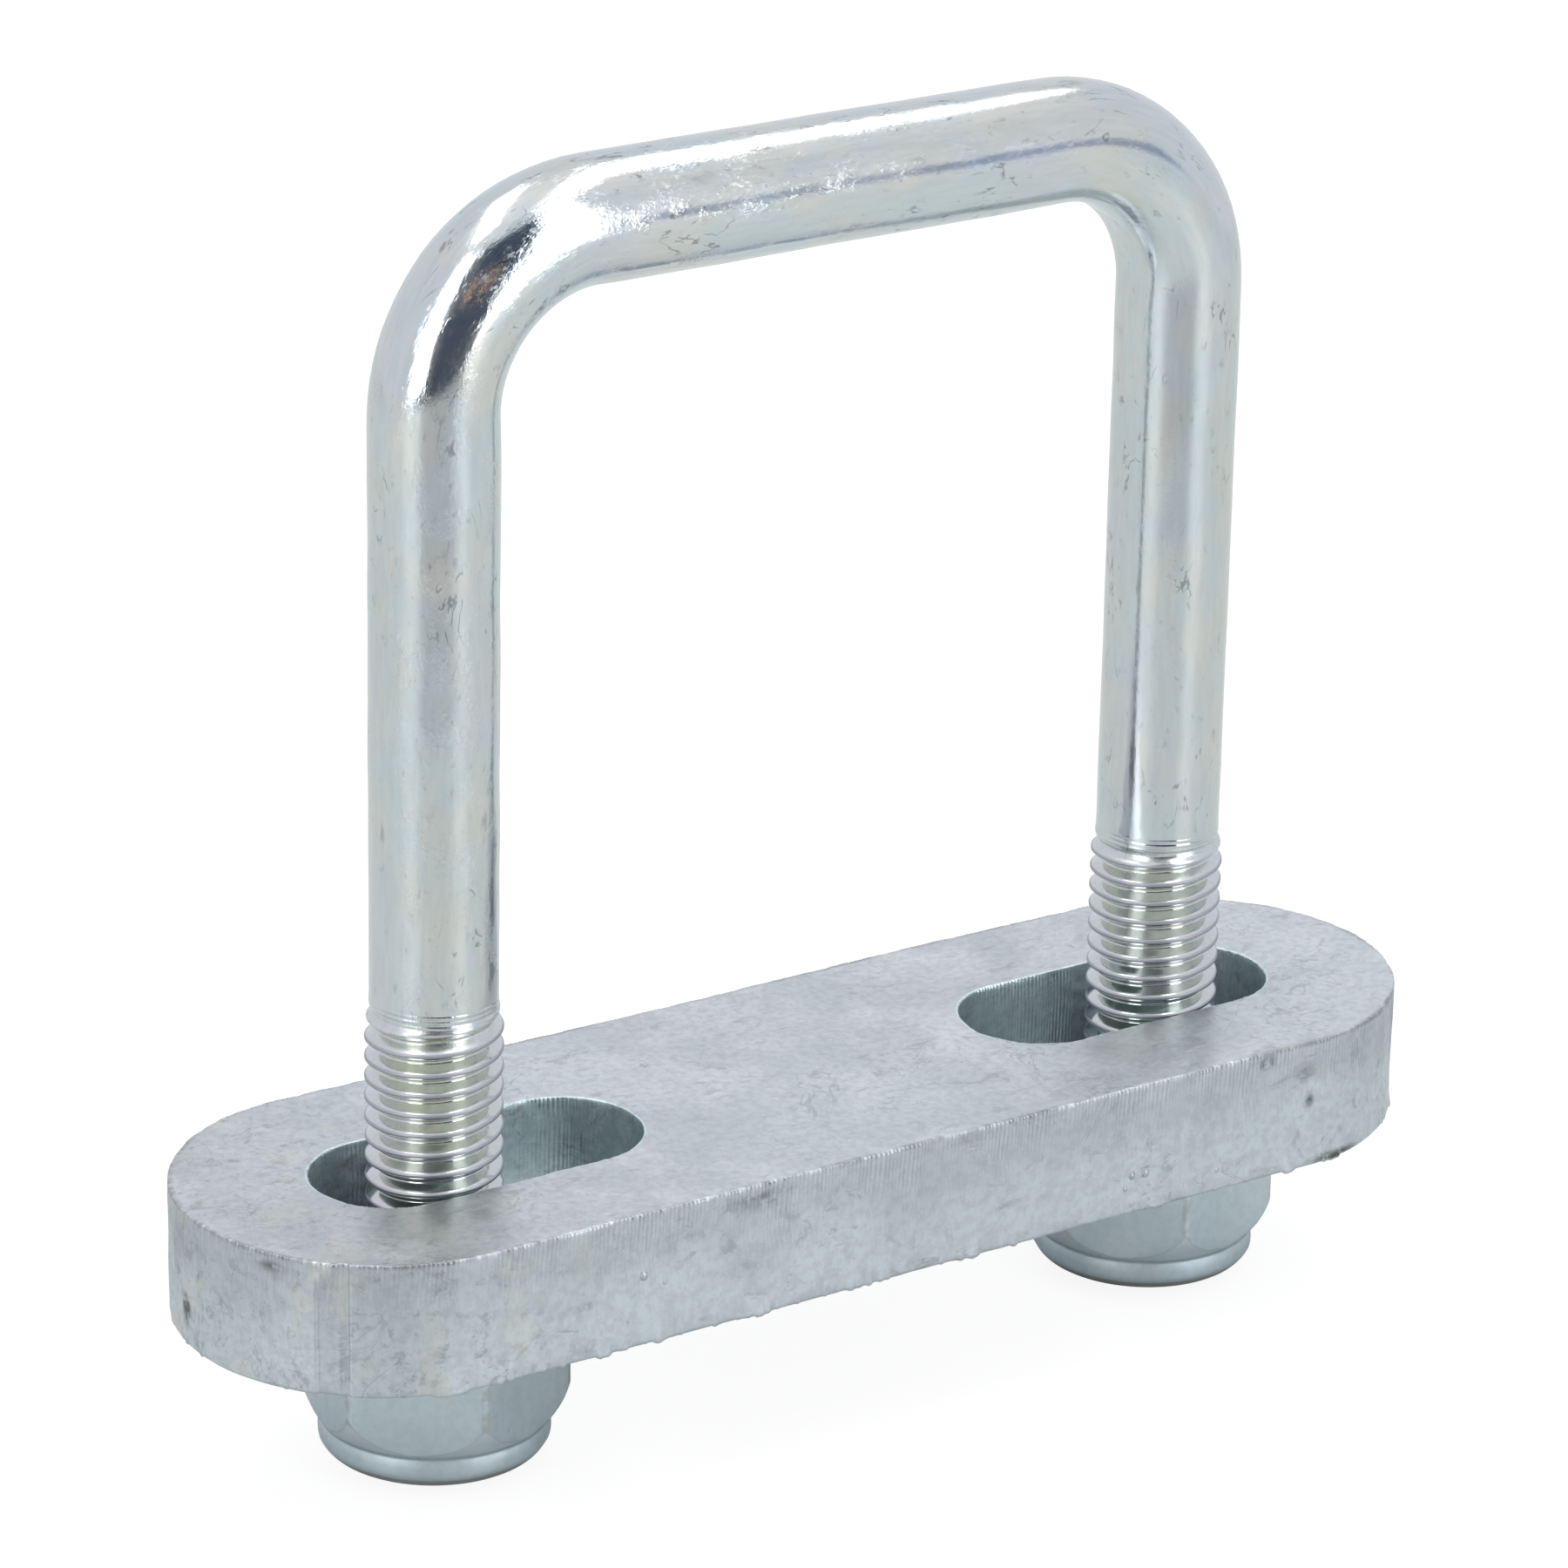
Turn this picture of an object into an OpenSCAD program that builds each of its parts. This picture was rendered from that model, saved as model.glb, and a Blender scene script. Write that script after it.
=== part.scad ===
// Square U-bolt clamp: a bent bolt with two threaded legs, a slotted clamping plate
// and two lock nuts with nylon inserts. All sizes are in millimetres.
// The plate's clamping face lies on z = 0 with its centre at the origin. The legs are
// spaced along X, the loop stands up along +Z and the nuts hang below the plate.

/* [U-bolt] */
// Clear width between the plain parts of the legs
inside_w = 53; // [50:0.5:57]
// Height from the clamping face to the underside of the crossbar
clear_h = 62.2; // [45:0.1:90]
// Inside radius of the two bends
bend_inside_r = 7.5; // [5:0.5:15]
// Diameter of the plain shank, which is the blank that the thread is rolled on
shank_d = 9.03; // [8.8:0.01:9.2]
// Distance that the legs reach below the clamping face
leg_below = 22.3; // [22:0.1:30]

/* [Thread] */
// Outside diameter of the thread
thread_d = 10; // [9.9:0.01:10]
// Thread pitch
pitch = 1.5; // [1.25:0.25:1.5]
// Number of thread ridges on each leg
ridge_count = 22; // [18:1:26]

/* [Plate] */
// Length of the plate over its round ends
plate_l = 100; // [100:1:120]
// Width of the plate, which is also the diameter of its round ends
plate_w = 30; // [26:1:40]
// Thickness of the plate
plate_t = 10; // [8:0.5:10]
// Length of each slot over its round ends
slot_l = 25.5; // [20:0.5:28]
// Width of each slot
slot_w = 11.5; // [11:0.5:13]
// Distance from the plate's centre to the middle of each slot
slot_x = 27.5; // [26:0.5:30]

/* [Lock nuts] */
// Width across the flats of the hexagon
nut_af = 17; // [17:0.5:18]
// Overall height of a nut, with its rounded collar
nut_h = 11.5; // [11:0.1:12]
// Diameter of the nut's bore, which clears the thread crests
nut_bore_d = 10.1; // [10.04:0.01:10.2]
// Turn of the left nut's corners about its leg, in degrees
left_nut_turn = 21; // [0:1:60]
// Turn of the right nut's corners about its leg, in degrees
right_nut_turn = 13; // [0:1:60]
// Outside diameter of the crimped collar
collar_d = 16.4; // [16.2:0.1:16.6]
// Diameter of the opening that the crimped lip leaves
lip_d = 11.6; // [11:0.1:12]

/* [Nylon inserts] */
// Outside diameter of an insert
insert_d = 13.96; // [13:0.01:14]
// Height of an insert
insert_h = 2.76; // [2.5:0.01:2.8]

/* [Hidden] */
$fn = 96;

// U-bolt centre line
shank_r = shank_d / 2;
leg_x = inside_w / 2 + shank_r;
bend_r = bend_inside_r + shank_r;
bar_z = clear_h + shank_r;
bend_z = bar_z - bend_r;
half_bar = leg_x - bend_r;

// Metric thread form: ridges stand on the root, with flanks at 60 degrees to each other
thread_r = thread_d / 2;
root_r = thread_r - 0.6134 * pitch;
crest_w = pitch / 8;
flank_w = (thread_r - root_r) * tan(30);
tip_r = root_r - 0.3;
tip_h = 0.6;
thread_bottom = -leg_below + tip_h;
thread_top = thread_bottom + ridge_count * pitch;
shank_blend = 0.5;

// Nut, measured down from its bearing face
bearing_gap = 0.02;
nut_z = -plate_t - bearing_gap;
corner_r = nut_af / 2 / cos(30);
bearing_chamfer_r = nut_af / 2 - 0.15;
bearing_chamfer_h = (corner_r - bearing_chamfer_r) * tan(30);
shoulder_start = 5.8;
shoulder_r = 5.4;
shoulder_from = 8;
shoulder_to = 43;
shoulder_step = 7;
neck_r = 8.1;
neck_depth = 9.05;
neck_rise = 0.25;
collar_r = collar_d / 2;
collar_round = 0.8;
mouth_r = nut_bore_d / 2 + 0.6;
mouth_h = 0.6;
cavity_r = 7;
cavity_top = 8.2;
lip_t = 0.5;
lip_r = lip_d / 2;
insert_gap = 0.02;
insert_top = nut_z - cavity_top - insert_gap;
through = 1;

module leg_thread() {
    ridges = [for (i = [0 : ridge_count - 1])
              let (z = thread_bottom + i * pitch)
              each [[root_r, z], [thread_r, z + flank_w],
                    [thread_r, z + flank_w + crest_w],
                    [root_r, z + 2 * flank_w + crest_w]]];
    rotate_extrude()
        polygon(concat([[0, -leg_below], [tip_r, -leg_below]], ridges,
                       [[root_r, thread_top], [shank_r, thread_top + shank_blend],
                        [0, thread_top + shank_blend]]));
}

module leg() {
    leg_thread();
    translate([0, 0, thread_top])
        cylinder(r = root_r, h = shank_blend);
    translate([0, 0, thread_top + shank_blend])
        cylinder(r = shank_r, h = bend_z - thread_top - shank_blend);
}

// Quarter turn from a leg's top, at +X, over to the crossbar
module bend() {
    translate([half_bar, 0, bend_z])
        rotate([90, 0, 0])
            rotate_extrude(angle = 90)
                translate([bend_r, 0])
                    circle(r = shank_r);
}

module u_bolt() {
    color("lightsteelblue") {
        for (side = [-1, 1])
            translate([side * leg_x, 0, 0])
                leg();
        bend();
        mirror([1, 0, 0])
            bend();
        translate([-half_bar, 0, bar_z])
            rotate([0, 90, 0])
                cylinder(r = shank_r, h = 2 * half_bar);
    }
}

// Outline with straight sides along X and full round ends
module round_ended(length, width) {
    square([length - width, width], center = true);
    for (side = [-1, 1])
        translate([side * (length - width) / 2, 0])
            circle(d = width);
}

module clamp_plate() {
    color("silver")
        translate([0, 0, -plate_t])
            linear_extrude(plate_t)
                difference() {
                    round_ended(plate_l, plate_w);
                    for (side = [-1, 1])
                        translate([side * slot_x, 0])
                            round_ended(slot_l, slot_w);
                }
}

// Turned outline of a nut: chamfered bearing face, rounded shoulder, neck and collar
module nut_envelope() {
    shoulder = [for (a = [shoulder_from : shoulder_step : shoulder_to])
                [corner_r - shoulder_r * (cos(shoulder_from) - cos(a)),
                 -shoulder_start - shoulder_r * (sin(a) - sin(shoulder_from))]];
    collar = [for (a = [0 : 15 : 90])
              [collar_r - collar_round * (1 - cos(a)),
               -nut_h + collar_round * (1 - sin(a))]];
    rotate_extrude()
        polygon(concat([[0, 0], [bearing_chamfer_r, 0],
                        [corner_r, -bearing_chamfer_h]],
                       shoulder, [[neck_r, -neck_depth],
                                  [collar_r, -neck_depth - neck_rise]],
                       collar, [[0, -nut_h]]));
}

// Bore with its entry chamfer, the insert's cavity and the lip's opening
module nut_inside() {
    rotate_extrude()
        polygon([[0, through], [mouth_r + through, through], [mouth_r, 0],
                 [nut_bore_d / 2, -mouth_h], [nut_bore_d / 2, -cavity_top],
                 [cavity_r, -cavity_top], [cavity_r, -nut_h + lip_t],
                 [lip_r, -nut_h + lip_t], [lip_r, -nut_h - through],
                 [0, -nut_h - through]]);
}

module lock_nut(x, turn) {
    translate([x, 0, nut_z])
        rotate([0, 0, turn])
            difference() {
                intersection() {
                    nut_envelope();
                    translate([0, 0, -nut_h - through])
                        cylinder(r = corner_r, h = nut_h + 2 * through, $fn = 6);
                }
                nut_inside();
            }
}

module lock_nut_left() {
    color("lightslategray")
        lock_nut(-leg_x, left_nut_turn);
}

module lock_nut_right() {
    color("lightslategray")
        lock_nut(leg_x, right_nut_turn);
}

module nylon_insert(x) {
    translate([x, 0, insert_top - insert_h])
        difference() {
            cylinder(d = insert_d, h = insert_h);
            translate([0, 0, -through])
                cylinder(d = nut_bore_d, h = insert_h + 2 * through);
        }
}

module nylon_insert_left() {
    color("ivory")
        nylon_insert(-leg_x);
}

module nylon_insert_right() {
    color("ivory")
        nylon_insert(leg_x);
}

u_bolt();
clamp_plate();
lock_nut_left();
lock_nut_right();
nylon_insert_left();
nylon_insert_right();
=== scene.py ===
import math

import bmesh
import bpy
import numpy as np
from mathutils import Matrix, Vector, geometry


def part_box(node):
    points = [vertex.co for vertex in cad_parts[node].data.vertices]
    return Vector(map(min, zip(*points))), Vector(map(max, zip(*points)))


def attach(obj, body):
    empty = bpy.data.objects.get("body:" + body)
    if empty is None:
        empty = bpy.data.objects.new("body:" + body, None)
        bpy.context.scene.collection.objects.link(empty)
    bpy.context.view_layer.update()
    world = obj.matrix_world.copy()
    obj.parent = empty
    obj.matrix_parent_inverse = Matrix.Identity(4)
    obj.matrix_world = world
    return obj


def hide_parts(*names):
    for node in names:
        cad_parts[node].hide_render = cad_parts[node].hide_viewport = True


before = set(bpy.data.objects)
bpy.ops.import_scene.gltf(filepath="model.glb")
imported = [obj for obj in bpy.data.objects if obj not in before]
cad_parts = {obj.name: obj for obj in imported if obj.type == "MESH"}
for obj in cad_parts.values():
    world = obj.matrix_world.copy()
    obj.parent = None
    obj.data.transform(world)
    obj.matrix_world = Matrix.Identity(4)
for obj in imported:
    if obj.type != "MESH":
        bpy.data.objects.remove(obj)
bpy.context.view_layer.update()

# Lengths are in millimetres until a mesh is made, which is in metres.
MM = 0.001


def box_mm(node_name):
    """Lowest and highest corner of a CAD node, in millimetres."""
    low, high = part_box(node_name)
    return np.array(low) / MM, np.array(high) / MM


bolt_low, bolt_high = box_mm("u_bolt")
plate_low, plate_high = box_mm("clamp_plate")
nut_low, nut_high = box_mm("lock_nut_left")

# U-bolt
NOMINAL_THREAD_R = 5.0
THREAD_R = 4.86
ROOT_R = 4.0
END_R = 3.9
SHANK_R = 4.515
PITCH = 1.5
BEND_R = 12.015
LEG_X = bolt_high[0] - NOMINAL_THREAD_R
LEG_AT = {"left": -LEG_X, "right": LEG_X}
LEG_END = bolt_low[2]
BAR_Z = bolt_high[2] - SHANK_R
BEND_Z = BAR_Z - BEND_R
HALF_BAR = LEG_X - BEND_R
THREAD_TOP = 13.4
SCREW_TOP = 10.6
THREAD_FADE = {"left": (12.6, 10.2), "right": (12.9, 10.6)}

# Plate
PLATE_L = 100.0
PLATE_W = plate_high[1] - plate_low[1]
PLATE_TOP = plate_high[2]
PLATE_BOTTOM = plate_low[2]
SLOT_L = 25.5
SLOT_W = 11.5
SLOT_X = 27.5

# Nuts, with heights counted down from the bearing face
NUT_Z = nut_high[2]
NUT_H = nut_high[2] - nut_low[2]
NUT_AF = 17.0
CORNER_R = NUT_AF / 2 / math.cos(math.radians(30))
NUT_TURNS = {"left": 21.0, "right": 13.0}
CAVITY_TOP = 8.2
CAVITY_R = 7.0
MOUTH_H = 0.6

# Height at which a thread crest crosses the +X side of each leg
CREST_AT = {"left": 0.06, "right": 1.33}


# ---------- mesh tools

def waves(points, length, seed, count=14):
    """Smooth noise of about unit size: seeded plane waves near that length, summed."""
    rng = np.random.default_rng(seed)
    total = np.zeros(len(points))
    for _ in range(count):
        direction = rng.normal(size=3)
        direction /= np.linalg.norm(direction)
        turns = 2 * math.pi / (length * rng.uniform(0.7, 1.7))
        total += np.sin(points @ direction * turns + rng.uniform(0, 2 * math.pi))
    return total / math.sqrt(count / 2)


def smooth(low, high, value):
    """0 below low, 1 above high, and an S-curve in between."""
    t = np.clip((value - low) / (high - low), 0, 1)
    return t * t * (3 - 2 * t)


def round_points(centre_x, radius, angles, heights):
    """Points at these angles and distances round an upright line."""
    x = centre_x + radius * np.cos(angles)
    return np.stack(np.broadcast_arrays(x, radius * np.sin(angles), heights), -1)


def new_object(name, data):
    made = bpy.data.objects.new(name, data)
    bpy.context.scene.collection.objects.link(made)
    return made


class Mesh:
    """Collects points, in millimetres, and faces, by point number.

    Each point may carry three more numbers, which its material reads as "trace".
    """

    def __init__(self):
        self.blocks = []
        self.traces = []
        self.faces = []
        self.size = 0

    def add(self, points, trace=None):
        """Adds points (any leading shape, then x y z) and returns their numbers."""
        points = np.asarray(points, float)
        numbers = self.size + np.arange(points[..., 0].size).reshape(points.shape[:-1])
        self.blocks.append(points.reshape(-1, 3))
        trace = np.zeros(points.shape) if trace is None else np.asarray(trace, float)
        self.traces.append(trace.reshape(-1, 3))
        self.size += numbers.size
        return numbers

    def quads(self, rows, closed=True):
        """Faces between neighbouring rows of point numbers. Repeated numbers collapse."""
        rows = np.asarray(rows)
        if closed:
            rows = np.concatenate([rows, rows[:, :1]], axis=1)
        corners = np.stack([rows[:-1, :-1], rows[:-1, 1:], rows[1:, 1:], rows[1:, :-1]], -1)
        self.loose_quads(corners.reshape(-1, 4))

    def loose_quads(self, corners):
        for corner in corners.tolist():
            face = list(dict.fromkeys(corner))
            if len(face) > 2:
                self.faces.append(face)

    def fan(self, ring, centre):
        ring = list(ring)
        for a, b in zip(ring, ring[1:] + ring[:1]):
            self.faces.append([a, b, centre])

    def build(self, name, material, sharp_degrees):
        data = bpy.data.meshes.new(name)
        points = np.concatenate(self.blocks) * MM
        data.from_pydata(points.tolist(), [], self.faces)
        trace = data.attributes.new("trace", "FLOAT_VECTOR", "POINT")
        trace.data.foreach_set("vector", np.concatenate(self.traces).ravel())
        work = bmesh.new()
        work.from_mesh(data)
        bmesh.ops.recalc_face_normals(work, faces=work.faces)
        work.to_mesh(data)
        work.free()
        data.polygons.foreach_set("use_smooth", [True] * len(data.polygons))
        data.set_sharp_from_angle(angle=math.radians(sharp_degrees))
        data.materials.append(material)
        return new_object(name, data)


def half_phases(steps):
    """Phases over one pitch, mirrored about the crest."""
    return steps + [1 - s for s in reversed(steps[1:-1])]


THREAD_PHASES = half_phases([0, 0.035, 0.058, 0.085, 0.2, 0.36, 0.41, 0.435, 0.455, 0.475, 0.5])


def screw_rows(angles, low, high, start):
    """Heights [row, column] of a grid whose rows climb one pitch in a turn.

    There is a row for each of the thread's phases. Heights beyond low or high, or within
    a sliver of it, are moved onto it.
    """
    sliver = 0.07
    first = math.floor((low - start) / PITCH) - 2
    last = math.ceil((high - start) / PITCH) + 1
    turns = np.concatenate([m + np.array(THREAD_PHASES) for m in range(first, last)])
    heights = start + (turns[:, None] + angles / (2 * math.pi)) * PITCH
    heights = np.where(heights < low + sliver, low, heights)
    return np.where(heights > high - sliver, high, heights)


def screw_faces(mesh, heights, numbers, low_ring, high_ring):
    """Joins a screw grid's points, using the level rings wherever it was clipped."""
    rows = np.where(heights <= heights.min(), low_ring, numbers)
    rows = np.where(heights >= heights.max(), high_ring, rows)
    seam = np.full(len(rows), high_ring[0])
    seam[:-len(THREAD_PHASES)] = rows[len(THREAD_PHASES):, 0]
    mesh.quads(np.concatenate([rows, seam[:, None]], axis=1), closed=False)


def thread_radius(height, world_angle, side):
    """Radius of the right-hand thread on a leg, at a height and an angle round it."""
    crest_half, root_half, rounding = 0.062, 0.055, 0.04
    phase = (height - CREST_AT[side]) / PITCH - world_angle / (2 * math.pi)
    from_crest = np.abs(((phase + 0.5) % 1.0) - 0.5)
    slope = (from_crest - crest_half) / (0.5 - crest_half - root_half)
    share = (np.hypot(slope, rounding) - np.hypot(slope - 1, rounding) + 1) / 2
    return THREAD_R - (THREAD_R - ROOT_R) * share


# ---------- U-bolt

COLUMNS = 84
# Lengths along the bolt: a leg up to its bend, one bend, and all of it
STRAIGHT = BEND_Z - LEG_END
QUARTER = BEND_R * math.pi / 2
LOOP_LENGTH = 2 * (STRAIGHT + QUARTER + HALF_BAR)


def leg_radius(height, world_angle, side):
    """Radius of a threaded leg, with the run-out above and the chamfered end below."""
    high, low = THREAD_FADE[side]
    thread = thread_radius(height, world_angle, side)
    radius = SHANK_R + (thread - SHANK_R) * smooth(high, low, height)
    # Faint rings where the rolling dies first touched the shank
    rings = smooth(low + 0.3, high - 0.5, height)
    rings *= 1 - smooth(high + 0.2, high + 0.5, height)
    radius = radius + 0.020 * rings * np.sin(2 * math.pi * height / 0.38 + world_angle)
    chamfer = END_R + (height - LEG_END) * 0.95
    return np.minimum(radius, chamfer)


def unbent(radius, turn, distance):
    """Where a point would lie, in metres, if the bolt were straightened along +Z.

    The turn is measured from the loop's outer side.
    """
    distance = np.broadcast_to(distance, radius.shape)
    return np.stack([radius * np.cos(turn), radius * np.sin(turn), distance], -1) * MM


def leg_points(heights, columns, side):
    """Points of a leg and their unbent places, for heights and world angles."""
    radius = leg_radius(heights, columns, side)
    points = round_points(LEG_AT[side], radius, columns, heights)
    flat = points.reshape(-1, 3)
    swell = 0.008 * waves(flat, 3.1, 11) + 0.004 * waves(flat, 0.9, 12)
    swell = swell.reshape(heights.shape)
    points = points + round_points(0, swell, columns, 0)
    if side == "left":
        return points, unbent(radius, columns - math.pi, heights - LEG_END)
    return points, unbent(radius, -columns, LOOP_LENGTH - (heights - LEG_END))


def threaded_leg(mesh, side):
    """Adds one threaded leg and its end, and returns the ring where the shank starts."""
    centre_x = LEG_AT[side]
    angles = np.arange(COLUMNS) * 2 * math.pi / COLUMNS
    low_ring = mesh.add(*leg_points(np.full(COLUMNS, LEG_END), angles, side))
    high_ring = mesh.add(*leg_points(np.full(COLUMNS, SCREW_TOP), angles, side))
    heights = screw_rows(angles, LEG_END, SCREW_TOP, CREST_AT[side])
    columns = np.broadcast_to(angles, heights.shape)
    numbers = mesh.add(*leg_points(heights, columns, side))
    screw_faces(mesh, heights, numbers, low_ring, high_ring)

    # Level rings through the run-out
    levels = np.linspace(SCREW_TOP, THREAD_TOP, 48)[1:, None] + 0 * angles
    columns = np.broadcast_to(angles, levels.shape)
    rings = mesh.add(*leg_points(levels, columns, side))
    mesh.quads(np.concatenate([high_ring[None], rings]))

    # Sheared end: a shallow cup left by thread rolling
    cup = [low_ring]
    for share, depth in ((0.93, 0.0), (0.8, -0.06), (0.6, -0.16), (0.35, -0.24), (0.12, -0.27)):
        points = round_points(centre_x, END_R * share, angles, LEG_END - depth)
        points[:, 2] += 0.03 * waves(points, 1.3, 13)
        cup.append(mesh.add(points, points * MM))
    mesh.quads(cup)
    centre = mesh.add([centre_x, 0, LEG_END + 0.27])
    mesh.fan(cup[-1], int(centre))
    return rings[-1]


def along_loop(distance):
    """Centre and outward direction at a distance from the left leg's end, in the XZ plane."""
    side = -1.0 if distance < LOOP_LENGTH / 2 else 1.0
    distance = min(distance, LOOP_LENGTH - distance) - STRAIGHT
    if distance < 0:
        return (side * LEG_X, BEND_Z + distance), (side, 0.0)
    if distance < QUARTER:
        turn = distance / BEND_R
        out = (side * math.cos(turn), math.sin(turn))
        return (side * HALF_BAR + BEND_R * out[0], BEND_Z + BEND_R * out[1]), out
    return (side * (HALF_BAR - distance + QUARTER), BAR_Z), (0.0, 1.0)


def bend_share(distance):
    """1 inside either bend and 0 on the straight parts, with soft ends."""
    distance = min(distance, LOOP_LENGTH - distance) - STRAIGHT
    return smooth(-2.5, 3.0, distance) * (1 - smooth(QUARTER - 3.0, QUARTER + 2.5, distance))


def shank_section(angles, share):
    """Radii round the shank, from the outward side. Bending flattens the inner side."""
    radius = SHANK_R * (1 + share * (0.012 * np.cos(2 * angles + math.pi) - 0.006))
    inner = np.clip(-np.cos(angles), 0.2, 1)
    flat = (SHANK_R - 0.30 * share) / inner
    sharpness = 26
    return (radius ** -sharpness + flat ** -sharpness) ** (-1 / sharpness)


def u_bolt_mesh():
    mesh = Mesh()
    left = threaded_leg(mesh, "left")
    right = threaded_leg(mesh, "right")
    shank_start = THREAD_TOP - LEG_END
    step = 0.9
    count = round((LOOP_LENGTH - 2 * shank_start) / step)
    angles = np.arange(COLUMNS) * 2 * math.pi / COLUMNS
    rows, traces = [], []
    for distance in np.linspace(shank_start, LOOP_LENGTH - shank_start, count + 1)[1:-1]:
        (x, z), (out_x, out_z) = along_loop(distance)
        radius = shank_section(angles, bend_share(distance))
        points = np.stack([x + radius * np.cos(angles) * out_x,
                           -radius * np.sin(angles),
                           z + radius * np.cos(angles) * out_z], -1)
        rows.append(points)
        traces.append(unbent(radius, angles, distance))
    rows = np.array(rows)
    flat = rows.reshape(-1, 3)
    near_ends = smooth(THREAD_TOP, THREAD_TOP + 3, flat[:, 2])
    swell = (0.016 * waves(flat, 13, 21) + 0.007 * waves(flat, 5, 22)) * near_ends
    centres = np.repeat(rows.mean(1), COLUMNS, axis=0)
    outward = flat - centres
    outward /= np.linalg.norm(outward, axis=1)[:, None]
    numbers = mesh.add((flat + outward * swell[:, None]).reshape(rows.shape), traces)
    # Columns of the loop start at its outer side and turn towards -Y, so the legs' rings
    # are renumbered to match: half a turn round on the left, backwards on the right.
    left_ring = left[(np.arange(COLUMNS) + COLUMNS // 2) % COLUMNS]
    right_ring = right[(-np.arange(COLUMNS)) % COLUMNS]
    mesh.quads(np.concatenate([left_ring[None], numbers, right_ring[None]]))
    return mesh


# ---------- lock nuts

def hex_columns(per_side):
    """Angles round a nut from a corner, in radians, closer together near each corner."""
    step = np.arange(per_side) / per_side
    eased = step - 0.75 * np.sin(2 * math.pi * step) / (2 * math.pi)
    return np.concatenate([math.radians(60) * (side + eased) for side in range(6)])


def hex_radius(angles):
    """Radius of a hexagon with slightly rounded corners, a corner at angle 0."""
    power = 60
    total = np.zeros_like(angles)
    for face in range(6):
        lean = np.cos(angles - math.radians(30 + 60 * face))
        total += np.clip(lean, 0, 1) ** power
    return NUT_AF / 2 / total ** (1 / power)


# Rounded shoulder below the hexagon: start depth, radius, first and last slope in degrees
SHOULDER_START = 5.8
SHOULDER_R = 5.4
SHOULDER_FROM = 8.0
SHOULDER_TO = 43.0
# Which of the outline's points, counted in nut_outline, lie on it
SHOULDER_ROWS = slice(23, 29)


def shoulder_point(slope):
    """Radius and depth where the shoulder's arc has this slope, in degrees."""
    first = math.radians(SHOULDER_FROM)
    turn = np.radians(slope)
    radius = CORNER_R - SHOULDER_R * (math.cos(first) - np.cos(turn))
    return radius, SHOULDER_START + SHOULDER_R * (np.sin(turn) - math.sin(first))


def shoulder_slope(radius):
    """Slope, in degrees, where the shoulder's arc has this radius."""
    first = math.radians(SHOULDER_FROM)
    cosine = math.cos(first) - (CORNER_R - radius) / SHOULDER_R
    return math.degrees(math.acos(min(cosine, math.cos(first))))


def nut_outline(radius):
    """Half section of a nut where its hexagon has this radius: (r, depth) from the mouth
    of the bore, over the outside, to the top of the insert's cavity."""
    edge = 0.07
    bearing_r = 8.25
    bearing_slope = math.tan(math.radians(30))
    bevel = (radius - bearing_r) * bearing_slope
    slope = shoulder_slope(radius)
    top = shoulder_point(slope)[1]
    points = [(5.09, MOUTH_H + 0.08), (5.15, MOUTH_H - 0.06), (5.55, 0.14), (5.66, 0.03),
              (5.8, 0.0), (6.7, 0.0), (7.6, 0.0), (bearing_r - 0.1, 0.0),
              (bearing_r, 0.02)]
    points += [(bearing_r + (radius - bearing_r) * t, bevel * t) for t in (0.25, 0.6)]
    points += [(radius - edge, bevel - edge * bearing_slope),
               (radius - edge * 0.25, bevel + edge * 0.2),
               (radius, bevel + edge * 1.2)]
    for t in (0.12, 0.25, 0.4, 0.55, 0.7, 0.82, 0.93):
        points.append((radius, bevel + (top - bevel) * t))
    points += [(radius, top - edge), (radius - 0.01, top + 0.02)]
    for t in (0.15, 0.3, 0.5, 0.7, 0.85, 1.0):
        r, depth = shoulder_point(slope + (SHOULDER_TO - slope) * t)
        points.append((min(r, radius - 0.015 - 0.03 * t), depth))
    points += [(8.28, 8.88), (8.19, 9.00), (8.14, 9.10), (8.15, 9.20), (8.19, 9.36),
               (8.24, 9.60), (8.26, 9.85), (8.27, 10.15), (8.26, 10.40), (8.23, 10.56),
               (8.15, 10.70), (8.02, 10.90), (7.86, 11.10), (7.66, 11.29), (7.45, 11.42),
               (7.20, 11.49), (6.9, 11.50)]
    points += [(6.5, 11.50), (6.15, 11.48), (5.94, 11.43), (5.83, 11.33), (5.80, 11.2),
               (5.83, 11.08), (5.93, 11.02), (6.4, 11.0), (CAVITY_R - 0.05, 11.0),
               (CAVITY_R, 10.95), (CAVITY_R, 9.6), (CAVITY_R, CAVITY_TOP + 0.05),
               (CAVITY_R - 0.05, CAVITY_TOP), (6.0, CAVITY_TOP), (5.3, CAVITY_TOP),
               (5.12, CAVITY_TOP + 0.04)]
    return points


def nut_thread(mesh, world, side, low, high, low_ring, high_ring):
    """Adds an inside thread that matches the leg's, between two rings of points."""
    clearance, bore_r, mouth_r = 0.07, 4.19, 5.09
    heights = screw_rows(world, low, high, CREST_AT[side])
    radius = np.maximum(thread_radius(heights, world, side) + clearance, bore_r)
    end_fade = smooth(0, 0.35, np.minimum(heights - low, high - heights))
    radius = mouth_r + (radius - mouth_r) * end_fade
    numbers = mesh.add(round_points(LEG_AT[side], radius, world, heights))
    screw_faces(mesh, heights, numbers, low_ring, high_ring)


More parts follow.
